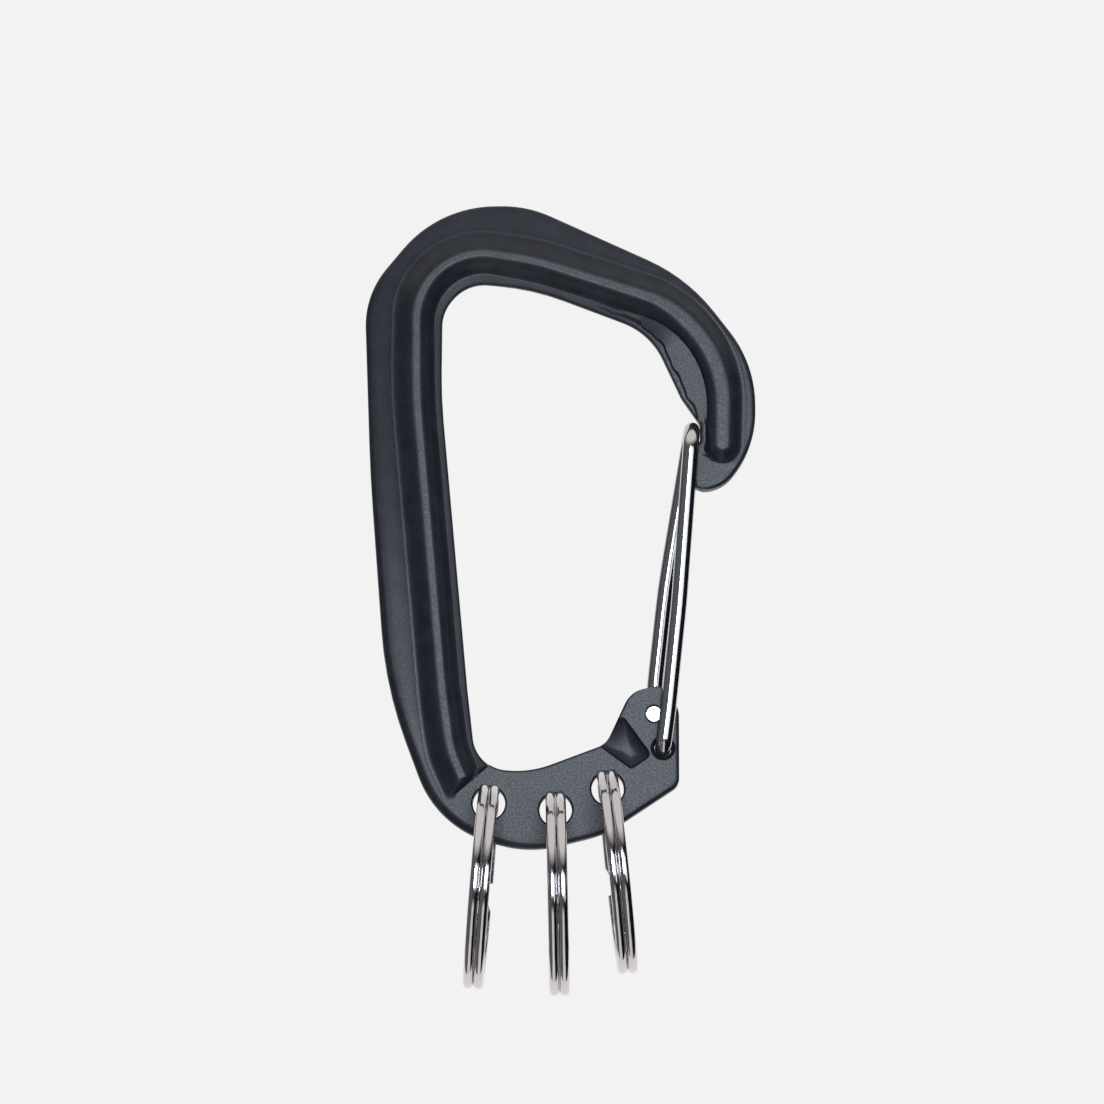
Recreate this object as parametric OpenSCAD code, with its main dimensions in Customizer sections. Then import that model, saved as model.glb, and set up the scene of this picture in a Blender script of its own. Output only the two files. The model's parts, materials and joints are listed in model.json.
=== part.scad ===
// Carabiner keyring: a flat forged frame with a wire gate and three split rings.
// X runs from the spine to the gate, Y from the front face to the back face, Z up.
// The origin is the seat under the top bend, where a hook or a belt loop carries the frame.

/* [Frame] */
// Overall height of the frame
frame_h = 80; // [64:1:100]
// Overall width of the frame, from the spine to the nose
frame_w = 48.6; // [40:0.5:60]
// Height of the top bend above the seat
bend_h = 10.1; // [8:0.1:13]
// Width of the spine, from its outer edge to the opening
spine_w = 9.6; // [8:0.1:12]
// Thickness of the flat plate
plate_t = 3.2; // [2.6:0.1:4]
// Thickness over the ribs of both faces
rib_t = 6.2; // [5:0.1:8]
// Width of the rib along the spine
rib_w = 5.7; // [4.5:0.1:7]
// Width of the rib at the nose
rib_nose_w = 4.2; // [3:0.1:5]
// Depth of the pocket in each face beside the gate boss
pocket_depth = 1; // [0.5:0.1:1.2]

/* [Wire gate] */
// Diameter of the gate wire
wire_d = 2; // [1.6:0.1:2.4]
// Radial clearance of a gate foot in its bore
foot_gap = 0.05; // [0.02:0.01:0.1]
// Gap between a gate leg and the face of the plate
leg_gap = 0.2; // [0.1:0.05:0.5]
// Gap between the closed gate and the notch of the nose
notch_gap = 0.1; // [0.05:0.05:0.3]
// Height of the rear foot above the front foot
foot_rise = 4.2; // [3.4:0.1:5.2]
// Length of the rear leg that flexes, above its foot
flex_l = 12; // [8:0.5:16]

/* [Split rings] */
// Outer diameter of a split ring
ring_d = 25; // [20:0.5:30]
// Thickness of one coil, along the ring's axis
coil_t = 1.2; // [0.9:0.05:1.4]
// Radial width of a coil
coil_w = 1.8; // [1.4:0.1:2.2]
// Gap between the two coils
coil_gap = 0.06; // [0.04:0.01:0.12]
// Diameter of a ring hole
hole_d = 4; // [3.6:0.1:5]
// Clearance of a ring in its hole
ring_gap = 0.05; // [0.03:0.01:0.15]
// Sideways lean of the left ring, in degrees
left_lean = 4.7; // [0:0.1:8]
// Sideways lean of the middle ring, in degrees
middle_lean = -1.2; // [-4:0.1:4]
// Sideways lean of the right ring, in degrees
right_lean = -6; // [-8:0.1:0]

/* [Hidden] */
$fn = 48;
arc_step = 6;       // degrees between the points of an outline's arc
over = 1;           // how far a cut runs past a face

// The frame's box
x_left = -15.4;
x_right = x_left + frame_w;
z_top = bend_h;
z_low = z_top - frame_h;

// The gate: both feet, the bend at the top, and the depth of its legs
leg_y = plate_t / 2 + leg_gap + wire_d / 2;
front_foot = [x_right - 11.6, z_low + 12];
rear_foot = [front_foot.x - 1.1, front_foot.y + foot_rise];
gate_top = [x_right - 7.9, z_top - 28.3];
elbow_r = leg_y - plate_t / 2;
function lean_to(foot) = atan2(gate_top.x - foot.x, gate_top.y - foot.y);
function leg_length(foot) = norm(gate_top - foot) - leg_y - elbow_r;

// The notch fits round the wire, and its lip passes under the gate's bend
notch_r = wire_d / 2 + notch_gap;
arch_r = leg_y - wire_d / 2;
lip_z = gate_top.y - leg_y + sqrt(pow(arch_r, 2) - pow(plate_t / 2, 2)) - notch_gap;

// The ring holes, and where a ring's centre lies from its hole
left_hole = [x_left + 15.6, z_low + 5.2];
right_hole = [x_right - 18.4, z_low + 7];
middle_hole = [(left_hole.x + right_hole.x) / 2 + 0.9, z_low + 4.4];
ring_r = ring_d / 2;
ring_half = coil_t + coil_gap / 2;
coil_cut = 0.35;
hole_room = 2 * (sqrt(pow(hole_d / 2 - ring_gap, 2) - pow(ring_half - coil_cut, 2)));
half_plate = plate_t / 2 + ring_gap;

// A ring hangs askew: its outside bears on the hole's front edge at the top and its inside on
// the back edge at the bottom. slant() is the height it takes up when its centre is c forward.
function slant(c) = sqrt(pow(ring_r, 2) - pow(c - half_plate, 2))
    - sqrt(pow(ring_r - coil_w, 2) - pow(c + half_plate, 2));
function seat(low, high, n) = n == 0 ? low
    : slant((low + high) / 2) > hole_room ? seat(low, (low + high) / 2, n - 1)
    : seat((low + high) / 2, high, n - 1);
ring_forward = seat(0, ring_r / 2, 20);
ring_drop = sqrt(pow(ring_r, 2) - pow(ring_forward - half_plate, 2)) - hole_room / 2;

function unit(v) = v / norm(v);
function flat(p) = [p.x, p.y];
function turned(v, a) = [v.x * cos(a) - v.y * sin(a), v.x * sin(a) + v.y * cos(a)];

// The arc of radius p.z that rounds the corner p between its neighbours a and b
function corner(a, p, b) = p.z == 0 ? [flat(p)] :
    let (u = unit(flat(a) - flat(p)), v = unit(flat(b) - flat(p)))
    let (half = acos(u * v) / 2, centre = flat(p) + unit(u + v) * p.z / sin(half))
    let (first = flat(p) + u * p.z / tan(half) - centre)
    let (turn = -sign(cross(u, v)) * (180 - 2 * half), steps = ceil(abs(turn) / arc_step))
    [for (i = [0:steps]) centre + turned(first, turn * i / steps)];

// An outline through corners [x, z, radius]
function outline(c) = [for (i = [0:len(c) - 1])
    each corner(c[(i + len(c) - 1) % len(c)], c[i], c[(i + 1) % len(c)])];

// A path beside another, at the distance side, which grows to end_side by the path's last point
function beside(path, side, end_side) = [for (i = [0:len(path) - 1])
    let (along = unit(path[min(i + 1, len(path) - 1)] - path[max(i - 1, 0)]))
    let (reach = side + (end_side - side) * min(1, 2 * i / len(path)))
    path[i] + [-along.y, along.x] * reach];

// Outer edge of the frame, from the shoulder over the top and down to the nose
outer_edge = [
    [x_left, z_top - 11.3, 11],
    [x_left + 9.2, z_top - 0.2, 15],
    [x_left + 20.2, z_top, 14],
    [x_right - 8.4, z_top - 9.2, 22],
    [x_right, z_top - 20.1, 15],
    [x_right, z_top - 29.4, 7.5],
    [x_right - 4.7, z_top - 36, 2.5],
    [x_right - 7.6, z_top - 35.5, 1.2],
    [gate_top.x - 0.1, lip_z, 0.5]
];
// The notch that the closed gate rests in, then the opening's edge round to the boss
inner_edge = [
    [gate_top.x + notch_r, lip_z, 0.9],
    [gate_top.x + notch_r, gate_top.y + 0.6, 0.6],
    [x_right - 9.2, z_top - 24.3, 2.2],
    [x_right - 13, z_top - 16.1, 9],
    [x_left + 20.9, z_top - bend_h - 0.4, 30],
    [x_left + spine_w + 3.2, z_top - bend_h + 0.3, 5],
    [x_left + spine_w + 0.1, z_top - bend_h - 3.3, 5],
    [x_left + spine_w, z_top - bend_h - 14, 60],
    [x_left + spine_w + 3.3, z_low + 19.4, 30],
    [x_left + spine_w + 4.4, z_low + 9.6, 4.5],
    [x_left + spine_w + 11, z_low + 9, 12]
];
// The gate boss, and the outer edge back along the bottom and up the spine
lower_edge = [
    [front_foot.x - 7, front_foot.y + 0.5, 3],
    [rear_foot.x - 3.4, rear_foot.y + 3.4, 2.2],
    [rear_foot.x + 1.2, rear_foot.y + 3.9, 2.5],
    [front_foot.x + 2, rear_foot.y + 0.6, 3],
    [front_foot.x + 2, front_foot.y - 4.6, 1.6],
    [x_right - 18.7, z_low + 1.4, 14],
    [x_left + 20.4, z_low - 0.9, 14],
    [x_left + 9.2, z_low + 2.4, 13],
    [x_left + 2.8, z_low + 19.5, 50],
    [x_left + 0.8, z_low + 46, 200]
];
frame_outline = outline(concat(outer_edge, inner_edge, lower_edge));

// Middle line of the rib, from the nose over the top bend and down the spine
rib_corners = [
    [x_right - 4.1, z_top - 30, 0],
    [x_right - 3.9, z_top - 18.7, 14],
    [x_right - 11.2, z_top - 12.6, 12],
    [x_left + 21.2, z_top - 7.5, 30],
    [x_left + spine_w + 1.6, z_top - bend_h + 3.8, 6.5],
    [x_left + spine_w - 3, z_top - bend_h - 2, 7.5],
    [x_left + spine_w - 3, z_top - bend_h - 14, 60],
    [x_left + spine_w + 0.2, z_low + 19.4, 40],
    [x_left + spine_w + 1.8, z_low + 10.6, 0]
];
rib_line = [for (i = [0:len(rib_corners) - 1]) each i == 0 || i == len(rib_corners) - 1
    ? [flat(rib_corners[i])] : corner(rib_corners[i - 1], rib_corners[i], rib_corners[i + 1])];
rib_steps = 4;
rib_round = 0.85;    // how near the last step comes to the rib's crest, as a share

// A plate of thickness t on the frame's middle plane, standing in X and Z
module plate(t) {
    rotate([90, 0, 0])
        translate([0, 0, -t / 2])
            linear_extrude(t) children();
}

// A round hole or pin through the plate, of length l along Y
module across(p, r, l) {
    translate([p.x, 0, p.y])
        rotate([90, 0, 0])
            cylinder(r = r, h = l, center = true);
}

// A straight length of gate wire along Z, with what follows it at its end
module straight(l) {
    cylinder(d = wire_d, h = l);
    translate([0, 0, l]) children();
}

// A bend of radius r that turns the wire from Z towards X, with what follows it at its end
module bend(r, a) {
    translate([r, 0, 0])
        rotate([90, 0, 180])
            rotate_extrude(angle = a) translate([r, 0]) circle(d = wire_d);
    translate([r * (1 - cos(a)), 0, r * sin(a)])
        rotate([0, a, 0]) children();
}

// Starts a wire at the pin end of a foot, heading for its leg, so that its first bend turns up
module from_foot(p, side) {
    translate([p.x, -side * plate_t / 2, p.y])
        rotate([0, lean_to(p), 0])
            rotate([-side * 90, 0, 0])
                rotate(-side * 90) children();
}

// The half round that ends a rib at p, from the side at p + reach round to the other side
function round_end(p, reach) = [for (a = [arc_step:arc_step:180 - arc_step]) p + turned(reach, -a)];

// One step of the rounded rib: the further it stands out, the narrower it is
function rib_band(part) =
    let (shrink = sqrt(1 - pow(part, 2)) / 2, near = rib_nose_w * shrink, far = rib_w * shrink)
    let (left = beside(rib_line, near, far), right = beside(rib_line, -near, -far))
    let (last = len(rib_line) - 1)
    concat(round_end(rib_line[0], right[0] - rib_line[0]),
        left, round_end(rib_line[last], left[last] - rib_line[last]),
        [for (i = [last:-1:0]) right[i]]);

module frame() {
    color([0.13, 0.14, 0.16]) difference() {
        union() {
            plate(plate_t) polygon(frame_outline);
            for (i = [1:rib_steps]) {
                part = i / rib_steps;
                plate(plate_t + (rib_t - plate_t) * part) polygon(rib_band(part * rib_round));
            }
        }
        for (hole = [left_hole, middle_hole, right_hole])
            across(hole, hole_d / 2, rib_t + over);
        for (foot = [front_foot, rear_foot])
            across(foot, wire_d / 2 + foot_gap, rib_t + over);
        for (side = [-1, 1])
            translate([0, side * (plate_t - pocket_depth + over) / 2, 0])
                plate(pocket_depth + over) pocket();
    }
}

// The scooped pocket beside the boss, open to the frame's inner edge
module pocket() {
    polygon(outline([
        [front_foot.x - 8.2, front_foot.y + 1.6, 0.5],
        [front_foot.x - 4.8, front_foot.y + 4, 0.8],
        [front_foot.x - 1.8, front_foot.y - 0.2, 0.8],
        [front_foot.x - 4, front_foot.y - 2.6, 1],
        [front_foot.x - 8.4, front_foot.y + 0.6, 0.5]
    ]));
}

// Front foot, front leg, the bend over the nose and the upper part of the rear leg. The two
// legs spread from the bend's middle, where the wire turns about itself.
module wire_gate() {
    color([0.78, 0.79, 0.81])
        from_foot(front_foot, -1)
            straight(plate_t) bend(elbow_r, 90) straight(leg_length(front_foot))
                bend(leg_y, 90) rotate(lean_to(rear_foot) - lean_to(front_foot))
                    bend(leg_y, 90) straight(leg_length(rear_foot) - flex_l);
}

// Lower part of the rear leg, which flexes as the gate opens, and the foot held in the boss
module gate_rear_foot() {
    color([0.78, 0.79, 0.81])
        from_foot(rear_foot, 1)
            straight(plate_t) bend(elbow_r, 90) straight(flex_l);
}

// Two flat coils joined by a short step, wound as one length of flat wire about the X axis.
// The ends lie on either side of the step, at the angle split from the top.
coil_first = 10;
coil_last = 710;
coil_steps = 100;
step_half = 8;
coil_section = [
    [-0.5, -0.5 + coil_cut / coil_w], [-0.5 + coil_cut / coil_t, -0.5],
    [0.5 - coil_cut / coil_t, -0.5], [0.5, -0.5 + coil_cut / coil_w],
    [0.5, 0.5 - coil_cut / coil_w], [0.5 - coil_cut / coil_t, 0.5],
    [-0.5 + coil_cut / coil_t, 0.5], [-0.5, 0.5 - coil_cut / coil_w]
];
function coil_shift(a) = (coil_t + coil_gap) / 2 * max(-1, min(1, (a - 360) / step_half));
function coil_ring(a, split) = [for (p = coil_section)
    let (r = ring_r - coil_w / 2 + p.y * coil_w)
    [coil_shift(a) + p.x * coil_t, r * sin(a + split), r * cos(a + split)]];

module split_ring(hole, lean, split) {
    angles = [for (i = [0:coil_steps]) coil_first + (coil_last - coil_first) * i / coil_steps];
    n = len(coil_section);
    points = [for (a = angles) each coil_ring(a, split)];
    sides = [for (i = [0:coil_steps - 1], j = [0:n - 1])
        [i * n + j, i * n + (j + 1) % n, (i + 1) * n + (j + 1) % n, (i + 1) * n + j]];
    start_cap = [for (j = [n - 1:-1:0]) j];
    end_cap = [for (j = [0:n - 1]) coil_steps * n + j];
    color([0.8, 0.8, 0.82])
        translate([hole.x, 0, hole.y])
            rotate([0, lean, 0])
                translate([0, -ring_forward, -ring_drop])
                    polyhedron(points, concat([start_cap], sides, [end_cap]), convexity = 4);
}

module split_ring_left() split_ring(left_hole, left_lean, 95);
module split_ring_middle() split_ring(middle_hole, middle_lean, 100);
module split_ring_right() split_ring(right_hole, right_lean, 92);

frame();
wire_gate();
gate_rear_foot();
split_ring_left();
split_ring_middle();
split_ring_right();
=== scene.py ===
"""Carabiner keyring: a forged, black-coated frame, a bent wire gate and three split rings."""
import json
import math

import bmesh
import bpy
from mathutils import Matrix, Vector


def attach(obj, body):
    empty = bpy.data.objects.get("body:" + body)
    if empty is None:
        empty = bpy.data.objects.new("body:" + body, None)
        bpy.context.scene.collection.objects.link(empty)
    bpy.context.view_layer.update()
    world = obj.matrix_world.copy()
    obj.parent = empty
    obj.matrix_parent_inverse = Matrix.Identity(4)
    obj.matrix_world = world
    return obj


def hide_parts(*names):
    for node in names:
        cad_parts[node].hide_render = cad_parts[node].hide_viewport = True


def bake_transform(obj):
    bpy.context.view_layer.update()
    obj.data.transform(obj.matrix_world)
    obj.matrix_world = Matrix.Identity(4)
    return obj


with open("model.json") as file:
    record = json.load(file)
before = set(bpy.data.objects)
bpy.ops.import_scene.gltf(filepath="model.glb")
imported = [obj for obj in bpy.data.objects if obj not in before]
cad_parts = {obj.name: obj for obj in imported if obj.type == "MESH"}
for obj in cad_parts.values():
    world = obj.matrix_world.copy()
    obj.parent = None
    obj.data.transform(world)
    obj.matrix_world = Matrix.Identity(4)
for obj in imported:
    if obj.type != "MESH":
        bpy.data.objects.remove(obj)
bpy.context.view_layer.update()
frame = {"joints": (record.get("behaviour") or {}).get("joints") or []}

MM = 0.001
SAME = 1e-5                         # points nearer than this, in millimetres, are one point
SHARP = 38                          # degrees between faces, past which an edge stays sharp

# ---------------------------------------------------------------- sizes, in millimetres
# The frame's outline runs between these lines. Its seat is at the origin.
LEFT, RIGHT, TOP, LOW = -15.4, 33.2, 10.1, -69.9
SPINE = 9.6                         # width of the spine
PLATE_Y = 1.6                       # half the thickness of the plate
RIB_Y = 3.06                        # half the thickness over the ribs
OUTER_SLOPE = 2.5                   # width of the rib's side towards the flange
INNER_SLOPE = 1.9                   # width of the rib's side towards the opening
RIB_CUT = 0.7                       # length of the chisel-like end of the rib
BEAD_W, BEAD = 0.5, 0.02            # width and height of the bead that the die left beside the rib
LEDGE_Y = 0.8                       # half the thickness of the trimmed inner edge
LEDGE_W = 0.85                      # width of the trimmed inner edge
LEDGE_STEP = 0.22                   # width of the step down to the trimmed edge
LEDGE_TILT = 0.25                   # how steeply the trimmed edge falls away
LEDGE_WAVES = ((0.13, 1.3, 0), (0.07, 3.1, 1))      # share of its width, radians per mm, start
EDGE_CORNER = 0.25                  # rounding of the inner edge
EDGE_MOST = 0.35                    # most of a section's width that the outer rounding takes
TIP_W = 1.5                         # a section narrower than this thins out
STATION_GAP = 0.3                   # between the cross-sections of the frame
SPOT_GAP = 0.01                     # least distance between two points of a cross-section
HOLE_R, HOLE_LIP = 2.0, 0.22        # radius of a ring hole, and how far its mouths open
FOOT_BORE_R = 1.05                  # radius of the bores for the gate's feet
FRONT_MOUTH, REAR_MOUTH = 0.5, 0.18     # how far the two bores open at the front face
BACK_MOUTH = 0.1                    # how far both open at the back face
OVER = 0.5                          # how far a drill reaches past the plate

WIRE_R = 1.0                        # radius of the gate wire
WIRE_CHAMFER = 0.12                 # chamfer on its ends
WIRE_STEP, WIRE_SIDES = 0.4, 32     # between its cross-sections, and the sides of each
NOTCH_R = WIRE_R + 0.05             # notch in the nose, with room for the wire
LEG_Y = PLATE_Y + 0.2 + WIRE_R      # how far a gate leg lies from the middle plane
ELBOW_R = 1.2                       # bend of the wire's middle line at each foot
FRONT_BOW, REAR_BOW = 0.35, -0.62   # how far the two legs bow out of line
LOW_AT, MID_AT = 0.12, 0.45         # how far up a leg its bow starts, and where it is fullest
LOW_BOW = 0.55                      # share of the bow that the leg has where it starts
LOW_BEND_R, MID_BEND_R = 40, 120    # radii of the bow at those two spots
FLEX = 12.0                         # length of the rear leg that bends as the gate opens

RING_R = 12.5                       # outer radius of a ring
COIL_T, COIL_W = 1.2, 1.8           # one coil of a ring, along its axis and along its radius
COIL_GAP = 0.06                     # gap between the two coils
COIL_ROUND = 0.5                    # rounding of a coil's long corners
COIL_BEVEL = 0.12                   # bevel on a coil's ends
STEP_TURN = 16                      # degrees that the step between the coils takes
END_TURN = 10                       # degrees from the middle of the step to a coil's end
RING_FORWARD, RING_DROP = 4.638, 10.397     # from a hole's middle to its ring's middle

# ---------------------------------------------------------------- places
JOINT_AT = {joint["name"]: Vector(joint["pos_m"]) / MM for joint in frame["joints"]}
FRONT_FOOT = JOINT_AT["gate_swing"]
REAR_FOOT = FRONT_FOOT + Vector((-1.1, 0, 4.2))
GATE_TOP = Vector((RIGHT - 7.9, 0, TOP - 28.3))     # middle of the wire where it crosses the nose
HOLES = {side: JOINT_AT[f"ring_{side}_swing"] for side in ("left", "middle", "right")}
# In degrees: how far each ring leans, and how far round from its top, to the back, its step lies
LEAN = {"left": 4.7, "middle": -1.2, "right": -6.0}
SPLIT = {"left": 95, "middle": 100, "right": 92}

# ---------------------------------------------------------------- the studio
PAPER = "#f2f2f2"
LAMP_COLOUR = "#e6f2ff"
AIM = Vector((7.95, 0, -33.43))     # the spot that the camera and the soft boxes face
DISTANCE = 600.0                    # from that spot to the camera and to each soft box
TILT = math.radians(-7)             # the camera stands below that spot and looks up
LENS, SENSOR = 157.9, 36
FLOOR_Z, FLOOR_SIZE = -135, 3000
# Each soft box: degrees round to the right, degrees up, its size in metres, and its watts
SOFT_BOXES = {"soft_box": (3, 2.5, (0.2, 0.24), 2.4), "side_box": (31, 0, (0.4, 0.5), 1.0)}
TENT_R = 620.0                      # radius of the dark tent
TENT_OPENING, TENT_END = 12, 125    # degrees from the tent's axis where its cloth starts and ends
TENT_STEPS, TENT_SIDES = 32, 64


# ---------------------------------------------------------------- tools
def colour(value):
    """An sRGB hex colour, made linear."""
    channels = [int(value[i:i + 2], 16) / 255 for i in (1, 3, 5)]
    return (*[c / 12.92 if c <= 0.04045 else ((c + 0.055) / 1.055) ** 2.4 for c in channels], 1.0)


def ease(t):
    """A smooth step from 0 to 1."""
    t = max(0.0, min(1.0, t))
    return t * t * (3 - 2 * t)


def ramp(at, knots):
    """A value that eases between knots (place, value)."""
    for (a0, v0), (a1, v1) in zip(knots, knots[1:]):
        if at <= a1:
            return v0 + (v1 - v0) * ease((at - a0) / (a1 - a0))
    return knots[-1][1]


def fillet(radius, inset):
    """How far an edge rounded to a radius falls away, at a distance in from the edge."""
    return radius - math.sqrt(max(0.0, radius ** 2 - (radius - inset) ** 2))


def rounded(corners, step=4.0):
    """An open path through corners (point, radius), each rounded by an arc.

    step is the most degrees between two points of an arc.
    """
    path = [corners[0][0]]
    for (before, _), (at, radius), (after, _) in zip(corners, corners[1:], corners[2:]):
        u, v = (before - at).normalized(), (after - at).normalized()
        half = u.angle(v) / 2
        centre = at + (u + v).normalized() * radius / math.sin(half)
        first = at + u * radius / math.tan(half) - centre
        turn, axis = math.pi - 2 * half, v.cross(u)
        count = max(2, math.ceil(math.degrees(turn) / step))
        path += [centre + Matrix.Rotation(turn * i / count, 3, axis) @ first for i in range(count + 1)]
    return path + [corners[-1][0]]


def flat(x, z):
    """A point of the frame's middle plane."""
    return Vector((x, 0, z))


def in_plane(corners):
    """A rounded path through corners (x, z, radius) of the frame's middle plane."""
    return rounded([(flat(x, z), radius) for x, z, radius in corners])


class Track:
    """A path that can be read at any distance along it."""

    def __init__(self, path):
        self.path, self.at = [path[0]], [0.0]
        for p in path[1:]:
            if (p - self.path[-1]).length > SAME:
                self.at.append(self.at[-1] + (p - self.path[-1]).length)
                self.path.append(p)
        self.length = self.at[-1]

    def point(self, s):
        """The point at a distance s along the path."""
        k = 1
        while k < len(self.at) - 1 and self.at[k] < s:
            k += 1
        t = (s - self.at[k - 1]) / (self.at[k] - self.at[k - 1])
        return self.path[k - 1].lerp(self.path[k], t)

    def closest(self, spot):
        """How far spot lies from the path, and the place along the path that is nearest."""
        best = (1e9, 0.0)
        for a, b, at in zip(self.path, self.path[1:], self.at):
            t = max(0.0, min(1.0, (spot - a).dot(b - a) / (b - a).length_squared))
            best = min(best, ((a.lerp(b, t) - spot).length, at + t * (b - a).length))
        return best

    def nearest(self, spot):
        """The place along the path that is nearest to spot."""
        return self.closest(spot)[1]

    def distance(self, spot):
        """How far spot lies from the path."""
        return self.closest(spot)[0]

    def crossing(self, a, b):
        """How far along the line from a to b the path crosses it, or None."""
        line = b - a
        side = [line.x * (p.z - a.z) - line.z * (p.x - a.x) for p in self.path]
        for k in range(1, len(side)):
            if side[k - 1] * side[k] <= 0 and side[k] != side[k - 1]:
                p = self.path[k - 1].lerp(self.path[k], side[k - 1] / (side[k - 1] - side[k]))
                t = (p - a).dot(line) / line.length_squared
                if 0 <= t <= 1:
                    return t * line.length
        return None


def skin(sections):
    """A closed skin, in a new bmesh, drawn through sections that are loops of as many points."""
    bm = bmesh.new()
    verts = [bm.verts.new(p) for p in sections[0]]
    edges = [bm.edges.new((verts[i - 1], verts[i])) for i in range(len(verts))]
    bmesh.ops.contextual_create(bm, geom=edges)
    for section in sections[1:]:
        made = bmesh.ops.extrude_edge_only(bm, edges=edges)["geom"]
        edges = [g for g in made if isinstance(g, bmesh.types.BMEdge)]
        new = {g for g in made if isinstance(g, bmesh.types.BMVert)}
        verts = [next(e.other_vert(v) for e in v.link_edges if e.other_vert(v) in new) for v in verts]
        for v, p in zip(verts, section):
            v.co = p
    bmesh.ops.contextual_create(bm, geom=edges)
    bmesh.ops.recalc_face_normals(bm, faces=bm.faces)
    return bm


def turned(centre, profile, sides=64):
    """A closed shape turned about the Y axis through centre, from a profile of (radius, y)."""
    bm = bmesh.new()
    verts = [bm.verts.new(centre + Vector((radius, y, 0))) for radius, y in profile]
    edges = [bm.edges.new(pair) for pair in zip(verts, verts[1:])]
    bmesh.ops.spin(bm, geom=verts + edges, cent=centre, axis=(0, 1, 0), angle=math.tau, steps=sides,
                   use_merge=True, use_duplicate=False)
    bmesh.ops.remove_doubles(bm, verts=bm.verts, dist=10 * SAME)
    bmesh.ops.recalc_face_normals(bm, faces=bm.faces)
    return bm


def shade(mesh):
    """Shades a mesh smooth, with its sharp edges kept."""
    mesh.shade_smooth()
    mesh.set_sharp_from_angle(angle=math.radians(SHARP))


def piece(name, bm):
    """Makes the bmesh, drawn in millimetres, a smooth-shaded object in metres."""
    bmesh.ops.scale(bm, vec=(MM, MM, MM), verts=bm.verts)
    mesh = bpy.data.meshes.new(name)
    bm.to_mesh(mesh)
    bm.free()
    made = bpy.data.objects.new(name, mesh)
    bpy.context.scene.collection.objects.link(made)
    shade(mesh)
    return made


def cut(body, tools):
    """Cuts each tool out of the body, and removes the tools."""
    for tool in tools:
        modifier = body.modifiers.new("cut", "BOOLEAN")
        modifier.operation, modifier.solver, modifier.object = "DIFFERENCE", "EXACT", tool
    graph = bpy.context.evaluated_depsgraph_get()
    mesh = bpy.data.meshes.new_from_object(body.evaluated_get(graph))
    body.modifiers.clear()
    body.data = mesh
    for tool in tools:
        bpy.data.objects.remove(tool)
    mesh.name = body.name
    shade(mesh)


# ---------------------------------------------------------------- the frame's outline
LIP_Z = GATE_TOP.z - 2.08           # height of the lip under the notch
NOSE = (RIGHT - 6.9, TOP - 35.9)
OUTER = Track(in_plane([
    (*NOSE, 0),
    (RIGHT - 4.35, TOP - 36.1, 4.6),
    (RIGHT, TOP - 30.45, 12.4),
    (RIGHT, TOP - 20.1, 15),
    (RIGHT - 8.4, TOP - 9.2, 22),
    (LEFT + 20.2, TOP, 14),
    (LEFT + 9.2, TOP - 0.2, 15),
    (LEFT, TOP - 11.3, 11),
    (LEFT + 0.8, LOW + 46, 200),
    (LEFT + 2.8, LOW + 19.5, 50),
    (LEFT + 9.2, LOW + 2.4, 13),
    (LEFT + 20.4, LOW - 0.9, 14),
    (RIGHT - 18.7, LOW + 1.4, 14),
    (FRONT_FOOT.x + 2, FRONT_FOOT.z - 4.6, 1.6),
    (FRONT_FOOT.x + 2, REAR_FOOT.z + 0.6, 3),
    (REAR_FOOT.x + 1.2, REAR_FOOT.z + 3.7, 2.0),
    (REAR_FOOT.x - 0.3, REAR_FOOT.z + 3.4, 0),
]))
INNER = Track(in_plane([
    (NOSE[0], NOSE[1] + 0.05, 0),
    (RIGHT - 7.6, TOP - 35.5, 0.5),
    (GATE_TOP.x - 0.1, LIP_Z, 0.5),
    (GATE_TOP.x + NOTCH_R, LIP_Z, 0.9),
    (GATE_TOP.x + NOTCH_R, GATE_TOP.z + 0.6, 0.6),
    (RIGHT - 9.2, TOP - 24.3, 2.2),
    (RIGHT - 13, TOP - 16.1, 9),
    (LEFT + 20.9, -0.4, 30),
    (LEFT + SPINE + 3.2, 0.3, 5),
    (LEFT + SPINE + 0.1, -3.3, 5),
    (LEFT + SPINE, -14, 60),
    (LEFT + SPINE + 3.3, LOW + 19.4, 30),
    (LEFT + SPINE + 4.4, LOW + 9.6, 4.5),
    (LEFT + SPINE + 11, LOW + 9, 12),
    (FRONT_FOOT.x - 7, FRONT_FOOT.z + 0.5, 3),
    (REAR_FOOT.x - 2.9, REAR_FOOT.z + 2.7, 3.2),
    (REAR_FOOT.x - 0.3, REAR_FOOT.z + 3.35, 0),
]))
RIB = Track(in_plane([
    (RIGHT - 4.1, TOP - 30.4, 0),
    (RIGHT - 3.9, TOP - 18.7, 14),
    (RIGHT - 11.2, TOP - 12.6, 12),
    (LEFT + 21.2, TOP - 7.4, 30),
    (LEFT + SPINE - 3.05, 5.0, 8.2),
    (LEFT + SPINE - 3.05, -14, 60),
    (LEFT + SPINE + 0.2, LOW + 19.4, 40),
    (LEFT + SPINE + 1.2, LOW + 11.9, 12),
    (LEFT + SPINE + 5, LOW + 3, 0),
]))
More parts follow.
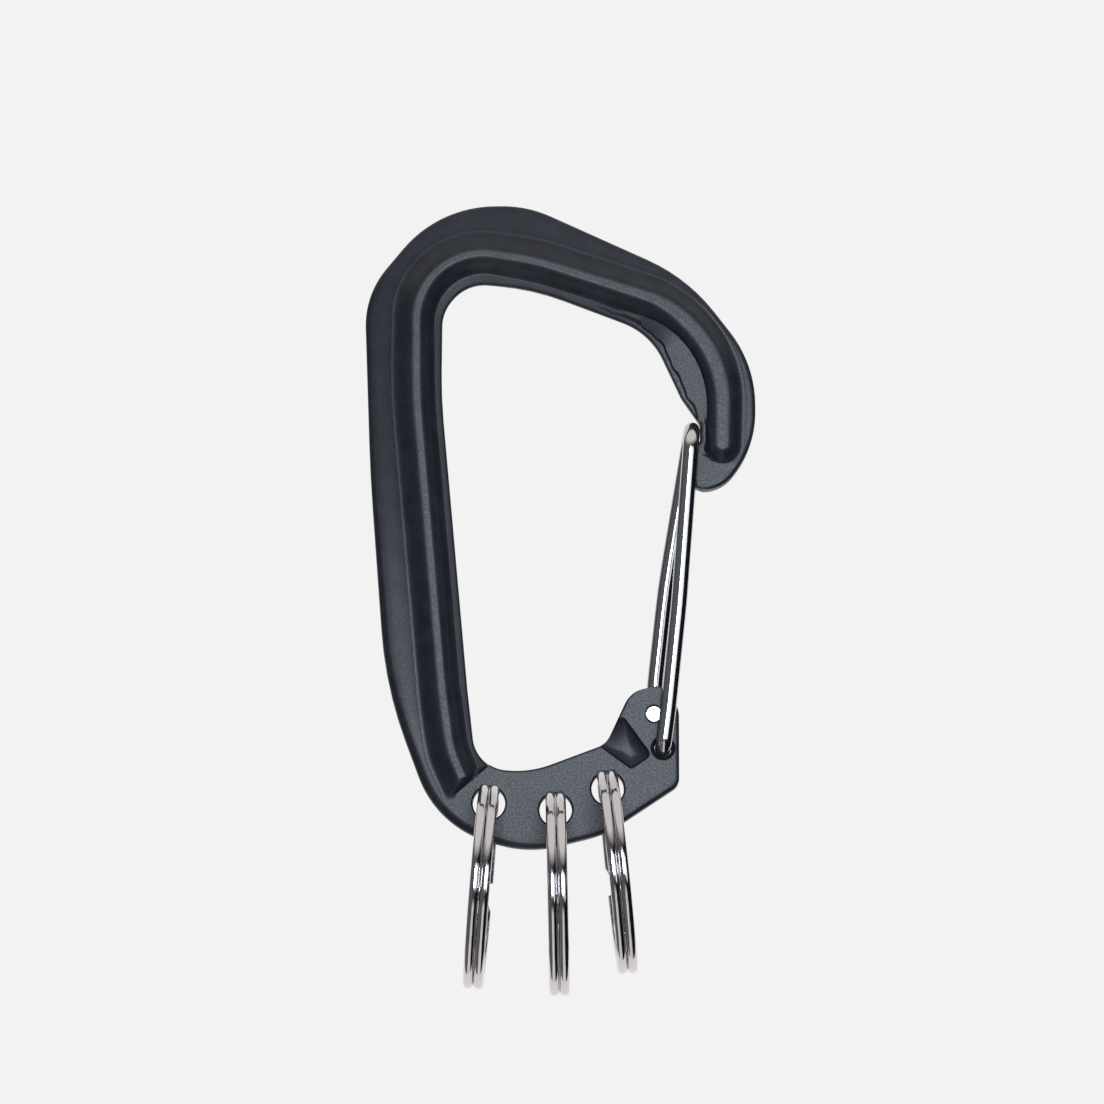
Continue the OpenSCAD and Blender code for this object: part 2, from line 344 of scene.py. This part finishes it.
# Pairs of points, on the outer and the inner edge, that a cross-section joins
PAIRS = [
    (NOSE, (NOSE[0], NOSE[1] + 0.05)),
    ((RIGHT - 4.6, TOP - 35.8), (GATE_TOP.x - 0.05, TOP - 33.5)),
    ((RIGHT - 1.4, TOP - 31.8), (GATE_TOP.x + NOTCH_R - 0.2, LIP_Z)),
    ((RIGHT, TOP - 26), (GATE_TOP.x + NOTCH_R, GATE_TOP.z + 0.4)),
    ((RIGHT - 0.6, TOP - 21), (RIGHT - 9.4, TOP - 24)),
    ((RIGHT - 3.2, TOP - 15), (RIGHT - 11.2, TOP - 20)),
    ((RIGHT - 11.2, TOP - 7.9), (RIGHT - 14.8, TOP - 15.2)),
    ((LEFT + 19.8, TOP), (LEFT + 18.2, -0.2)),
    ((LEFT + 1.6, TOP - 8.8), (LEFT + SPINE + 0.9, -2.4)),
    ((LEFT, TOP - 22), (LEFT + SPINE, -12)),
    ((LEFT + 2.6, LOW + 21), (LEFT + SPINE + 3.2, LOW + 19.9)),
    ((LEFT + 9.1, LOW + 4.2), (LEFT + SPINE + 6.2, LOW + 10)),
    ((LEFT + 20.4, LOW - 0.2), (LEFT + 20.4, LOW + 9.2)),
    ((RIGHT - 18.7, LOW + 2), (RIGHT - 19.5, LOW + 11.5)),
    ((RIGHT - 9.8, LOW + 7.8), (FRONT_FOOT.x - 6, FRONT_FOOT.z + 1.6)),
    ((FRONT_FOOT.x + 2, REAR_FOOT.z - 1), (REAR_FOOT.x - 3.6, REAR_FOOT.z + 1.8)),
    ((REAR_FOOT.x - 0.3, REAR_FOOT.z + 3.4), (REAR_FOOT.x - 0.3, REAR_FOOT.z + 3.35)),
]
# Places along the pairs, where 0 is the first pair, 1 the second and so on
NOSE_PAIR = 4                       # past here the rib is kept between the two edges
SKEW_PAIR = 7                       # up to here the sections cross the rib askew
RIB_END_PAIR = 11                   # where the rib ends
# How a size changes along the pairs, as (place, value)
EDGE_ROUND = [(0, 0.5), (9, 0.6), (10.3, 1.1), (11, 1.1), (12.5, 0.6), (16, 0.5)]   # of the outer edge
FLANGE_FALL = [(0, 0.0), (4, 0.05), (6, 0.16), (9, 0.17), (10, 0.05), (10.6, 0)]    # how steep it is
CREST = [(5, 1.9), (7, 0.9), (16, 0.9)]                     # width of the rib's flat top
RIB_NARROW = [(2, 0.68), (5, 0.74), (7, 1.0)]               # share of the rib's full width
LEDGE_GROW = [(2.9, 0.02), (3.7, LEDGE_W), (16, LEDGE_W)]   # width of the trimmed edge
WEB_STANDS = [(5.2, 1.0), (6.4, 0.0), (16, 0.0)]            # 1 where the flat inside it is plate-thick


def between(a, b, count, bend=lambda t: t):
    """Places from just after a up to b, crowded by bend."""
    return [a + (b - a) * bend(i / count) for i in range(1, count + 1)]


def crowd_end(t):
    """A bend that crowds places towards the last one."""
    return math.sin(t * math.pi / 2)


def crowd_start(t):
    """A bend that crowds places towards the first one."""
    return 1 - math.cos(t * math.pi / 2)


def spread(spots, width):
    """The same spots in order from 0 to width, with no two of them together."""
    apart = [0.0]
    for spot in sorted(spots)[1:]:
        apart.append(max(apart[-1] + SPOT_GAP, min(width, spot)))
    return [spot * width / apart[-1] for spot in apart]


def out_to(far, start, heading, reach, limit=8.0):
    """How far a spot lies from start, one way or the other, when it is reach away from the rib."""
    near = 0.0
    for _ in range(14):             # each round halves the stretch that is left
        middle = (near + limit) / 2
        if far(start + heading * middle) < reach:
            near = middle
        else:
            limit = middle
    return near


def half_section(width, rib_at, along, share, ledge_w, far):
    """Half of one cross-section, as (distance from the outer edge, height above the middle plane).

    along counts the pairs, share is how much of the rib stands, and far gives how far a spot of
    the section lies from the rib's middle line.
    """
    edge = min(ramp(along, EDGE_ROUND), width * EDGE_MOST)
    fall = ramp(along, FLANGE_FALL)
    narrow = ramp(along, RIB_NARROW)
    crest = ramp(along, CREST) * narrow / 2
    outer, inner = OUTER_SLOPE * narrow, INNER_SLOPE * narrow
    stands = ramp(along, WEB_STANDS)
    if along > NOSE_PAIR:
        room = max(0.02, min(1.0, (width - edge - ledge_w) / (2 * crest + outer + inner)))
        crest, outer, inner = crest * room, outer * room, inner * room
        rib_at = max(edge + outer + crest, min(width - ledge_w - inner - crest, rib_at))
    valley = max(edge, rib_at - out_to(far, rib_at, -1, crest + outer))
    crest_start = rib_at - out_to(far, rib_at, -1, crest)
    crest_end = rib_at + out_to(far, rib_at, 1, crest)
    slope_end = rib_at + out_to(far, rib_at, 1, crest + inner)
    step = max(slope_end, width - ledge_w)
    not_grown = 1 - ledge_w / LEDGE_W if along < NOSE_PAIR else 0
    web = LEDGE_Y + (PLATE_Y - LEDGE_Y) * stands
    web += (PLATE_Y - web) * max(1 - share, not_grown)
    thin = min(1.0, math.sqrt(width / TIP_W))

    def height(u):
        base = PLATE_Y - fall * max(0.0, valley - u)
        if u > rib_at:
            tilt = LEDGE_TILT * (1 - stands) * max(0.0, u - slope_end)
            base = web - ((web - LEDGE_Y) * ease((u - step) / LEDGE_STEP) + tilt) * share
        reach = far(u)
        # 0 on the rib's outer side and 1 on its inner side
        inwards = 0.5 + 0.5 * (u - rib_at) / max(reach, 1e-3)
        inwards = max(0.0, min(1.0, inwards))
        slope = outer + (inner - outer) * inwards
        down = min(1.0, max(0.0, reach - crest) / slope)
        steep = inwards * stands
        rise = (1 - steep) * (1 - ease(down)) + steep * math.sqrt(1 - down ** 2)
        y = base + (RIB_Y - base) * rise * share
        from_bead = abs(crest + slope + BEAD_W / 2 - reach)
        y += BEAD * share * ease(1 - from_bead / (BEAD_W / 2)) * (1 - inwards)
        if u < edge:
            y -= fillet(edge, u)
        if width - u < EDGE_CORNER:
            y -= fillet(EDGE_CORNER, width - u)
        return y * thin

    # Each stretch of the section has the same count of points everywhere, so that the skin closes
    bead = max(edge, valley - BEAD_W)
    spots = [0.0] + between(0, edge, 6, crowd_start) + between(edge, bead, 3) + between(bead, valley, 4)
    spots += between(valley, crest_start, 8) + between(crest_start, crest_end, 4)
    spots += between(crest_end, slope_end, 8, crowd_end) + between(slope_end, step, 3)
    spots += between(step, step + min(LEDGE_STEP, (width - step) / 3), 3)
    spots += between(spots[-1], max(spots[-1] + SPOT_GAP, width - EDGE_CORNER), 2)
    spots += between(spots[-1], width, 4, crowd_end)
    points = [(u, height(u)) for u in spread(spots, width)]
    return [(0, 0), (0, points[0][1] / 2)] + points + [(width, points[-1][1] / 2), (width, 0)]


def rib_reach(a, across, rib_at, along):
    """Gives how far a spot of one section, at u from the point a, lies from the rib's middle line."""
    if along < SKEW_PAIR:
        return lambda u: RIB.distance(a + across * u)
    return lambda u: abs(u - rib_at)


def frame_sections():
    """The loops of points that the frame's skin is drawn through, from the nose to the boss."""
    ends = [(OUTER.nearest(flat(*a)), INNER.nearest(flat(*b))) for a, b in PAIRS]
    rib_tip = RIB.path[0]
    beyond_rib = 0.62               # share of the width where a section past the rib has its points
    sections = []
    for k, ((o0, i0), (o1, i1)) in enumerate(zip(ends, ends[1:])):
        length = (o1 - o0 + i1 - i0) / 2
        count = max(3, math.ceil(length / STATION_GAP))
        for n in range(count + (k == len(ends) - 2)):
            along = k + n / count
            run = i0 + (i1 - i0) * n / count
            a, b = OUTER.point(o0 + (o1 - o0) * n / count), INNER.point(run)
            width, across = (b - a).length, (b - a).normalized()
            rib_at = RIB.crossing(a, b)
            if rib_at is None:
                rib_at = (rib_tip - a).dot(across) if along < RIB_END_PAIR else width * beyond_rib
            share = 1.0 if k < RIB_END_PAIR else 0.0
            if k == RIB_END_PAIR - 1:
                share = max(0.0, min(1.0, (RIB_END_PAIR - along) * length / RIB_CUT))
            wave = 1 + sum(size * math.sin(run * pace + start) for size, pace, start in LEDGE_WAVES)
            ledge_w = ramp(along, LEDGE_GROW) * wave
            far = rib_reach(a, across, rib_at, along)
            half = half_section(width, rib_at, along, share, ledge_w, far)
            loop = [a + across * u + Vector((0, -y, 0)) for u, y in half]
            loop += [a + across * u + Vector((0, y, 0)) for u, y in half[-2:0:-1]]
            sections.append(loop)
    return sections


def pocket_tool(side):
    """The scoop beside the boss, sunk into one face."""
    # Corners as (x, z) from the front foot, and a radius
    corners = [(-8.2, 1.6, 0.5), (-4.9, 4, 0.5), (-1.3, -0.9, 0.8), (-3.9, -2.7, 0.6), (-8.4, 0.6, 0.5)]
    spots = [FRONT_FOOT + flat(x, z) for x, z, _ in corners]
    ring = []
    for i, (_, _, radius) in enumerate(corners):
        before, at, after = spots[i - 1], spots[i], spots[(i + 1) % len(spots)]
        ring += rounded([(before, 0), (at, radius), (after, 0)], step=15)[1:-1]
    centre = sum(ring, Vector()) / len(ring)
    deepest = Vector((0.9, 0, -0.9))
    # Levels as a depth, how wide the scoop is there, and how far it has moved to its deepest place
    levels = [
        (-0.4, 1.03, 0),
        (0, 1.0, 0),
        (0.4, 0.94, 0.1),
        (0.75, 0.75, 0.3),
        (1.0, 0.5, 0.6),
        (1.15, 0.2, 0.9),
    ]
    loops = []
    for depth, wide, moved in levels:
        shift = deepest * moved + Vector((0, side * (PLATE_Y - depth), 0))
        loops.append([centre + (p - centre) * wide + shift for p in ring])
    return piece("pocket_tool", skin(loops))


def drill(at, radius, front, back):
    """A drill through the plate, whose mouths open by front and by back at the two faces."""
    return piece("drill", turned(at, [
        (0, -PLATE_Y - OVER), (radius + front + OVER, -PLATE_Y - OVER), (radius, -PLATE_Y + front),
        (radius, PLATE_Y - back), (radius + back + OVER, PLATE_Y + OVER), (0, PLATE_Y + OVER)]))


def frame_piece():
    """The forged frame, with its holes, bores and pockets."""
    body = piece("forged_frame", skin(frame_sections()))
    tools = [drill(hole, HOLE_R, HOLE_LIP, HOLE_LIP) for hole in HOLES.values()]
    tools.append(drill(FRONT_FOOT, FOOT_BORE_R, FRONT_MOUTH, BACK_MOUTH))
    tools.append(drill(REAR_FOOT, FOOT_BORE_R, REAR_MOUTH, BACK_MOUTH))
    tools += [pocket_tool(-1), pocket_tool(1)]
    cut(body, tools)
    body.data.materials.append(black_coat())
    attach(body, "frame")
    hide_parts("frame")


# ---------------------------------------------------------------- the wire gate
def gate_route():
    """The middle line of the gate wire, from the front foot over the nose to the rear foot."""
    def leg(foot, side, bow):
        """Two spots on a leg: one low down, and one at the middle of its bow."""
        low = foot.lerp(GATE_TOP, LOW_AT) + Vector((bow * LOW_BOW, side * LEG_Y, 0))
        mid = foot.lerp(GATE_TOP, MID_AT) + Vector((bow, side * LEG_Y, 0))
        return low, mid
    front_low, front_mid = leg(FRONT_FOOT, -1, FRONT_BOW)
    rear_low, rear_mid = leg(REAR_FOOT, 1, REAR_BOW)
    out = Vector((0, LEG_Y, 0))
    inset = Vector((0, PLATE_Y, 0))
    return rounded([
        (FRONT_FOOT + inset, 0), (FRONT_FOOT - out, ELBOW_R),
        (front_low, LOW_BEND_R), (front_mid, MID_BEND_R),
        (GATE_TOP - out, LEG_Y), (GATE_TOP + out, LEG_Y),
        (rear_mid, MID_BEND_R), (rear_low, LOW_BEND_R),
        (REAR_FOOT + out, ELBOW_R), (REAR_FOOT - inset, 0),
    ], step=5)


def wire(name, route, ends):
    """A round wire along a route. ends says which ends are chamfered, as 'start' and 'finish'."""
    closest = 0.02                  # least distance between two cross-sections
    room = WIRE_CHAMFER + 0.05      # a chamfered end has none of the other sections within this
    look = 0.05                     # how far to each side the wire's heading is taken
    track = Track(route)
    count = math.ceil(track.length / WIRE_STEP)
    places = sorted({*[track.length * i / count for i in range(count + 1)], *track.at})
    places = [s for s, after in zip(places, places[1:]) if after - s > closest] + [places[-1]]
    radii = [WIRE_R] * len(places)
    if "start" in ends:
        places = [0.0, WIRE_CHAMFER] + [s for s in places if s > room]
        radii = [WIRE_R - WIRE_CHAMFER] + [WIRE_R] * (len(places) - 1)
    if "finish" in ends:
        kept = [s for s in places if s < track.length - room]
        radii = radii[:len(kept)] + [WIRE_R, WIRE_R - WIRE_CHAMFER]
        places = kept + [track.length - WIRE_CHAMFER, track.length]
    heading = (track.path[1] - track.path[0]).normalized()
    side = heading.orthogonal().normalized()
    sections = []
    for s, radius in zip(places, radii):
        ahead = track.point(min(track.length, s + look)) - track.point(max(0, s - look))
        ahead.normalize()
        side = (side - ahead * side.dot(ahead)).normalized()
        other = ahead.cross(side)
        centre = track.point(s)
        turns = [math.tau * i / WIRE_SIDES for i in range(WIRE_SIDES)]
        sections.append([centre + (side * math.cos(t) + other * math.sin(t)) * radius for t in turns])
    return piece(name, skin(sections))


def gate_pieces():
    """The gate's loop, which turns, and the foot of its rear leg, which bends."""
    track = Track(gate_route())
    elbow_end = PLATE_Y + (LEG_Y - PLATE_Y - ELBOW_R) + ELBOW_R * math.pi / 2
    split = track.length - elbow_end - FLEX
    apart = 0.1                     # points of the route nearer the split than this are left out
    upper = [p for p, s in zip(track.path, track.at) if s < split - apart] + [track.point(split)]
    lower = [track.point(split)] + [p for p, s in zip(track.path, track.at) if s > split + apart]
    gate = wire("gate_loop", upper, ("start",))
    gate.data.materials.append(polished_wire())
    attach(gate, "gate")
    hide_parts("wire_gate")
    rear = wire("gate_rear_leg", lower, ("finish",))
    rear.data.materials.append(gate.data.materials[0])
    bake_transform(rear)
    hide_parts("gate_rear_foot")


# ---------------------------------------------------------------- the split rings
def split_ring(side, material):
    """Two flat coils joined by a short step, hung askew in a hole."""
    half_t, half_w = COIL_T / 2 - COIL_ROUND, COIL_W / 2 - COIL_ROUND
    corner_steps = 5
    section = []
    for quarter, (x, r) in enumerate(((1, 1), (-1, 1), (-1, -1), (1, -1))):
        for i in range(corner_steps + 1):
            angle = math.radians(90 * quarter + 90 * i / corner_steps)
            section.append((x * half_t + COIL_ROUND * math.cos(angle),
                            r * half_w + COIL_ROUND * math.sin(angle)))
    pitch = COIL_T + COIL_GAP
    middle = RING_R - COIL_W / 2
    bm = bmesh.new()
    begin = Matrix.Rotation(math.radians(-(END_TURN + SPLIT[side])), 3, "X")
    verts = [bm.verts.new(begin @ Vector((x - pitch / 2, 0, middle + r))) for x, r in section]
    edges = [bm.edges.new((verts[i - 1], verts[i])) for i in range(len(verts))]
    caps = bmesh.ops.contextual_create(bm, geom=edges)["faces"]
    geom = verts + edges
    # Each run of the spin: its degrees, its steps, and how far it moves along the ring's axis
    coil = (360 - END_TURN - STEP_TURN / 2, 150, 0)
    step = (STEP_TURN, 12, pitch)
    for angle, steps, shift in (coil, step, coil):
        geom = bmesh.ops.spin(bm, geom=geom, cent=(0, 0, 0), axis=(-1, 0, 0), dvec=(shift / steps, 0, 0),
                              angle=math.radians(angle), steps=steps, use_duplicate=False)["geom_last"]
    edges = [g for g in geom if isinstance(g, bmesh.types.BMEdge)]
    caps += bmesh.ops.contextual_create(bm, geom=edges)["faces"]
    rim = list({e for face in caps for e in face.edges})
    bmesh.ops.bevel(bm, geom=rim, offset=COIL_BEVEL, segments=2, profile=0.5, affect="EDGES", material=-1)
    bmesh.ops.recalc_face_normals(bm, faces=bm.faces)
    place = (Matrix.Translation(HOLES[side]) @ Matrix.Rotation(math.radians(LEAN[side]), 4, "Y")
             @ Matrix.Translation((0, -RING_FORWARD, -RING_DROP)))
    bmesh.ops.transform(bm, matrix=place, verts=bm.verts)
    ring = piece(f"ring_{side}_coils", bm)
    ring.data.materials.append(material)
    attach(ring, f"ring_{side}")
    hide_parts(f"split_ring_{side}")


# ---------------------------------------------------------------- materials
def new_material(name):
    """An empty material and its node tree."""
    material = bpy.data.materials.new(name)
    material.use_nodes = True
    material.node_tree.nodes.clear()
    return material, material.node_tree


def add(tree, kind, inputs=(), **settings):
    """Adds a node. inputs gives its sockets a value, or another node's output to follow."""
    node = tree.nodes.new(kind)
    for name, value in settings.items():
        setattr(node, name, value)
    for name, value in dict(inputs).items():
        if isinstance(value, bpy.types.NodeSocket):
            tree.links.new(value, node.inputs[name])
        else:
            node.inputs[name].default_value = value
    return node


def black_coat():
    """Forged aluminium under a satin black coat: a fine speckled grain, rubbed smooth on the crest."""
    material, tree = new_material("black_coated_aluminium")
    grain_size, mottle_size = 0.23 * MM, 2.2 * MM
    place = add(tree, "ShaderNodeTexCoord").outputs["Object"]
    grain = add(tree, "ShaderNodeTexNoise", {"Vector": place, "Scale": 1 / grain_size, "Detail": 2.0})
    mottle = add(tree, "ShaderNodeTexNoise", {"Vector": place, "Scale": 1 / mottle_size, "Detail": 3.0})
    tone = add(tree, "ShaderNodeValToRGB", {"Fac": mottle.outputs["Fac"]})
    for stop, position, value in zip(tone.color_ramp.elements, (0.3, 0.72), ("#11131a", "#191c23")):
        stop.position, stop.color = position, colour(value)
    height = add(tree, "ShaderNodeSeparateXYZ", {"Vector": place}).outputs["Y"]
    off_plane = add(tree, "ShaderNodeMath", {0: height}, operation="ABSOLUTE")
    # The grain fades from the foot of the rib's sides to its crest
    worn = add(tree, "ShaderNodeMapRange", {
        "Value": off_plane.outputs["Value"], "From Min": 2.2 * MM, "From Max": 2.9 * MM,
        "To Min": 0.35, "To Max": 0.08})
    rough = add(tree, "ShaderNodeMapRange", {
        "Value": grain.outputs["Fac"], "From Min": 0.35, "From Max": 0.65, "To Min": 0.35, "To Max": 0.455})
    bump = add(tree, "ShaderNodeBump", {
        "Height": grain.outputs["Fac"], "Strength": worn.outputs["Result"], "Distance": 0.03 * MM})
    shader = add(tree, "ShaderNodeBsdfPrincipled", {
        "Base Color": tone.outputs["Color"], "Roughness": rough.outputs["Result"], "IOR": 1.4,
        "Normal": bump.outputs["Normal"]})
    add(tree, "ShaderNodeOutputMaterial", {"Surface": shader.outputs["BSDF"]})
    return material


def polished_wire():
    """Stainless spring wire, drawn and polished: faint marks, and a mirror-like gloss."""
    material, tree = new_material("polished_stainless_wire")
    mark_size = 0.9 * MM
    place = add(tree, "ShaderNodeTexCoord").outputs["Object"]
    marks = add(tree, "ShaderNodeTexNoise", {"Vector": place, "Scale": 1 / mark_size, "Detail": 4.0})
    rough = add(tree, "ShaderNodeMapRange", {"Value": marks.outputs["Fac"], "To Min": 0.1, "To Max": 0.18})
    bump = add(tree, "ShaderNodeBump", {
        "Height": marks.outputs["Fac"], "Strength": 0.04, "Distance": 0.02 * MM})
    shader = add(tree, "ShaderNodeBsdfPrincipled", {
        "Base Color": colour("#d2d0cf"), "Metallic": 1.0, "Roughness": rough.outputs["Result"],
        "Normal": bump.outputs["Normal"]})
    add(tree, "ShaderNodeOutputMaterial", {"Surface": shader.outputs["BSDF"]})
    return material


def plated_steel():
    """Nickel-plated flat spring steel: drawn lines run along the coil, under a soft, bright gloss."""
    material, tree = new_material("nickel_plated_steel")
    # Real drawn lines are finer than this, and these are as coarse as they need to be to show
    line_width, line_length = 0.16 * MM, 9 * MM
    place = add(tree, "ShaderNodeTexCoord").outputs["Object"]
    drawn = add(tree, "ShaderNodeMapping", {
        "Vector": place, "Scale": (1 / line_width, 1 / line_length, 1 / line_length)})
    lines = add(tree, "ShaderNodeTexNoise", {
        "Vector": drawn.outputs["Vector"], "Scale": 1.0, "Detail": 3.0})
    rough = add(tree, "ShaderNodeMapRange", {"Value": lines.outputs["Fac"], "To Min": 0.05, "To Max": 0.14})
    bump = add(tree, "ShaderNodeBump", {
        "Height": lines.outputs["Fac"], "Strength": 0.2, "Distance": 0.03 * MM})
    shader = add(tree, "ShaderNodeBsdfPrincipled", {
        "Base Color": colour("#d6d0d0"), "Metallic": 1.0, "Roughness": rough.outputs["Result"],
        "Normal": bump.outputs["Normal"]})
    add(tree, "ShaderNodeOutputMaterial", {"Surface": shader.outputs["BSDF"]})
    return material


def tent_cloth():
    """The tent's cloth: dark beside the object, pale overhead, with a bright slit below."""
    material, tree = new_material("tent_cloth")
    span = TENT_R * MM
    slit_start, slit_end = 0.14 * span, 0.24 * span         # the slit's edge, from the middle outwards
    slit_low, slit_high = -0.55 * span, -0.4 * span         # its upper end, from below upwards
    place = add(tree, "ShaderNodeTexCoord").outputs["Object"]
    split = add(tree, "ShaderNodeSeparateXYZ", {"Vector": place})
    height, sides = split.outputs["Z"], split.outputs["X"]
    rise = add(tree, "ShaderNodeMapRange", {"Value": height, "From Min": -span, "From Max": span})
    overhead = add(tree, "ShaderNodeValToRGB", {"Fac": rise.outputs["Result"]})
    for stop, position, value in zip(overhead.color_ramp.elements, (0.66, 0.8), ("#000000", "#e6e6e6")):
        stop.position, stop.color = position, colour(value)
    across = add(tree, "ShaderNodeMapRange", {"Value": sides, "From Min": -span, "From Max": span})
    beside = add(tree, "ShaderNodeValToRGB", {"Fac": across.outputs["Result"]})
    for stop, position, value in zip(beside.color_ramp.elements, (0.3, 0.6), ("#606268", "#141518")):
        stop.position, stop.color = position, colour(value)
    shade_of = add(tree, "ShaderNodeMixRGB", {
        "Fac": 1.0, "Color1": overhead.outputs["Color"], "Color2": beside.outputs["Color"]},
        blend_type="LIGHTEN")
    off_middle = add(tree, "ShaderNodeMath", {0: sides}, operation="ABSOLUTE")
    slit = add(tree, "ShaderNodeMapRange", {
        "Value": off_middle.outputs["Value"], "From Min": slit_start, "From Max": slit_end,
        "To Min": 1.0, "To Max": 0.0})
    below = add(tree, "ShaderNodeMapRange", {
        "Value": height, "From Min": slit_low, "From Max": slit_high, "To Min": 0.8, "To Max": 0.0})
    open_slit = add(tree, "ShaderNodeMath", {
        0: slit.outputs["Result"], 1: below.outputs["Result"]}, operation="MULTIPLY")
    lit = add(tree, "ShaderNodeMixRGB", {
        "Fac": open_slit.outputs["Value"], "Color1": shade_of.outputs["Color"],
        "Color2": colour("#ffffff")})
    glow = add(tree, "ShaderNodeEmission", {"Color": lit.outputs["Color"], "Strength": 1.0})
    add(tree, "ShaderNodeOutputMaterial", {"Surface": glow.outputs["Emission"]})
    return material


# ---------------------------------------------------------------- camera, lights and backdrop
def camera():
    """A long lens, a little below the object, looking up at it."""
    data = bpy.data.cameras.new("camera")
    data.lens, data.sensor_width = LENS, SENSOR
    data.clip_start, data.clip_end = 0.05, 20
    seen = bpy.data.objects.new("camera", data)
    back = Vector((0, -math.cos(TILT), math.sin(TILT)))
    seen.location = (AIM + back * DISTANCE) * MM
    seen.rotation_euler = (-back).to_track_quat("-Z", "Y").to_euler()
    bpy.context.scene.collection.objects.link(seen)
    bpy.context.scene.camera = seen


def soft_box(name, right, up, size, power):
    """A soft box that faces the object, turned round to its right, and up, by degrees."""
    light = bpy.data.lights.new(name, "AREA")
    light.shape, light.energy, light.color = "RECTANGLE", power, colour(LAMP_COLOUR)[:3]
    light.size, light.size_y = size
    lamp = bpy.data.objects.new(name, light)
    azimuth, elevation = math.radians(right), math.radians(up)
    level = math.cos(elevation)
    back = Vector((math.sin(azimuth) * level, -math.cos(azimuth) * level, math.sin(elevation)))
    lamp.location = (AIM + back * DISTANCE) * MM
    lamp.rotation_euler = back.to_track_quat("Z", "Y").to_euler()
    lamp.visible_camera = False
    bpy.context.scene.collection.objects.link(lamp)


def dark_tent():
    """A dark tent round the object, open in front and tipped up a little, that only gloss sees."""
    bm = bmesh.new()
    arc = []
    for i in range(TENT_STEPS + 1):
        angle = math.radians(TENT_OPENING + (TENT_END - TENT_OPENING) * i / TENT_STEPS)
        arc.append(bm.verts.new(AIM + Vector((TENT_R * math.sin(angle), -TENT_R * math.cos(angle), 0))))
    edges = [bm.edges.new(pair) for pair in zip(arc, arc[1:])]
    bmesh.ops.spin(bm, geom=arc + edges, cent=AIM, axis=(0, 1, 0), angle=math.tau, steps=TENT_SIDES,
                   use_merge=True, use_duplicate=False)
    bmesh.ops.rotate(bm, cent=AIM, matrix=Matrix.Rotation(TILT, 3, "X"), verts=bm.verts)
    tent = piece("dark_tent", bm)
    tent.data.materials.append(tent_cloth())
    for ray in ("camera", "diffuse", "transmission", "volume_scatter", "shadow"):
        setattr(tent, f"visible_{ray}", False)


def studio():
    """A pale floor in a pale room, a soft box in front, one at the side, and the tent."""
    scene = bpy.context.scene
    scene.view_settings.view_transform = "Standard"
    scene.world = bpy.data.worlds.new("pale_room")
    scene.world.use_nodes = True
    room = scene.world.node_tree.nodes["Background"]
    room.inputs["Color"].default_value = colour(PAPER)
    room.inputs["Strength"].default_value = 1.0

    bm = bmesh.new()
    bmesh.ops.create_grid(bm, x_segments=2, y_segments=2, size=FLOOR_SIZE)
    bmesh.ops.translate(bm, vec=(0, 0, FLOOR_Z), verts=bm.verts)
    floor = piece("floor", bm)
    # Matte background paper: one even, pale tone without gloss
    paper, tree = new_material("pale_paper")
    sheet = add(tree, "ShaderNodeBsdfPrincipled", {"Base Color": colour(PAPER), "Roughness": 0.9})
    add(tree, "ShaderNodeOutputMaterial", {"Surface": sheet.outputs["BSDF"]})
    floor.data.materials.append(paper)
    floor.visible_glossy = False

    for name, box in SOFT_BOXES.items():
        soft_box(name, *box)
    dark_tent()


camera()
frame_piece()
gate_pieces()
steel = plated_steel()
for side in HOLES:
    split_ring(side, steel)
studio()
